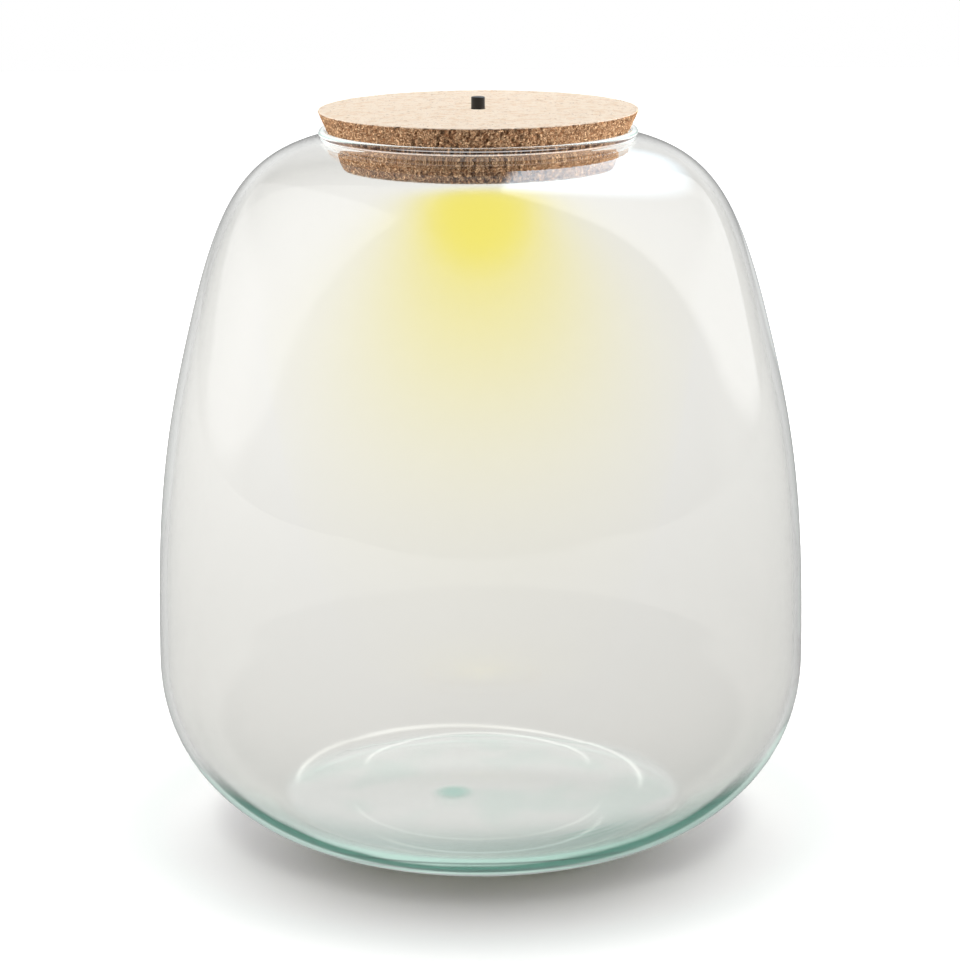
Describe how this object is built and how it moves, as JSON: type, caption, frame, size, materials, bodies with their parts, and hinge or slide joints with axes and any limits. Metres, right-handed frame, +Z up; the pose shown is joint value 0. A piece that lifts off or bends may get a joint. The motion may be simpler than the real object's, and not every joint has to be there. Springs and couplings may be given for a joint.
{
  "type": "lighted terrarium bottle",
  "caption": "Wide blown glass bottle with a tapered pressed-cork stopper that holds a battery lamp underneath and its push button on top.",
  "frame": {"origin": "centre of the bottle's foot, on the surface it stands on", "axes": "+Z up, along the bottle's axis, from the foot to the button; the picture is taken from -Y"},
  "size_m": [0.28, 0.28, 0.3142],
  "materials": {
    "clear_glass": "clear blown glass, faintly green where it is thick",
    "pressed_cork": "pressed cork granules with dark gaps",
    "black_plastic": "satin black",
    "white_plastic": "satin white",
    "frosted_plastic": "frosted, lit from behind",
    "dark_rubber": "soft closed-cell foam",
    "clear_rubber": "translucent silicone",
    "steel": "nickel plated",
    "mirror_foil": "bright",
    "board": "white solder mask",
    "led": "warm phosphor",
    "resistor": "matt black",
    "cell_sleeve": "plain printed sleeve, no text",
    "red_insulation": "satin red",
    "black_insulation": "satin black"
  },
  "bodies": {
    "bottle": {"glass_bottle": "clear_glass"},
    "stopper": {"cork_stopper": "pressed_cork", "housing_gasket": "dark_rubber", "lamp_housing": "white_plastic", "guide_bush": "black_plastic", "led_board": "board", "switch_body": "black_plastic", "reflector_ring": "mirror_foil", "housing_screw_1": "steel", "housing_screw_2": "steel", "housing_screw_3": "steel", "battery_1": "cell_sleeve", "battery_2": "cell_sleeve", "battery_3": "cell_sleeve", "cell_spring_1": "steel", "cell_spring_2": "steel", "cell_spring_3": "steel", "led_chip_1": "led", "led_chip_2": "led", "led_chip_3": "led", "resistor_1": "resistor", "resistor_2": "resistor", "resistor_3": "resistor", "bridge_contact_1": "steel", "bridge_contact_2": "steel", "positive_contact": "steel", "negative_contact": "steel", "positive_lead": "red_insulation", "negative_lead": "black_insulation", "return_spring": "steel"},
    "button": {"button_cap": "black_plastic", "push_rod": "white_plastic", "switch_plunger": "white_plastic"},
    "cover": {"battery_cover": "white_plastic", "cover_seal": "clear_rubber", "lens": "frosted_plastic", "lens_seal": "clear_rubber"}
  },
  "joints": [
    {"name": "stopper_lift", "type": "slide", "parent": "bottle", "child": "stopper", "axis": [0, 0, 1], "range_m": [0, 0.08]},
    {"name": "button_press", "type": "slide", "parent": "stopper", "child": "button", "axis": [0, 0, -1], "range_m": [0, 0.002], "stiffness_N_per_m": 400, "springref_m": -0.001, "deforming": ["return_spring"]},
    {"name": "cover_pull", "type": "slide", "parent": "stopper", "child": "cover", "axis": [0, 0, -1], "range_m": [0, 0.03]}
  ]
}
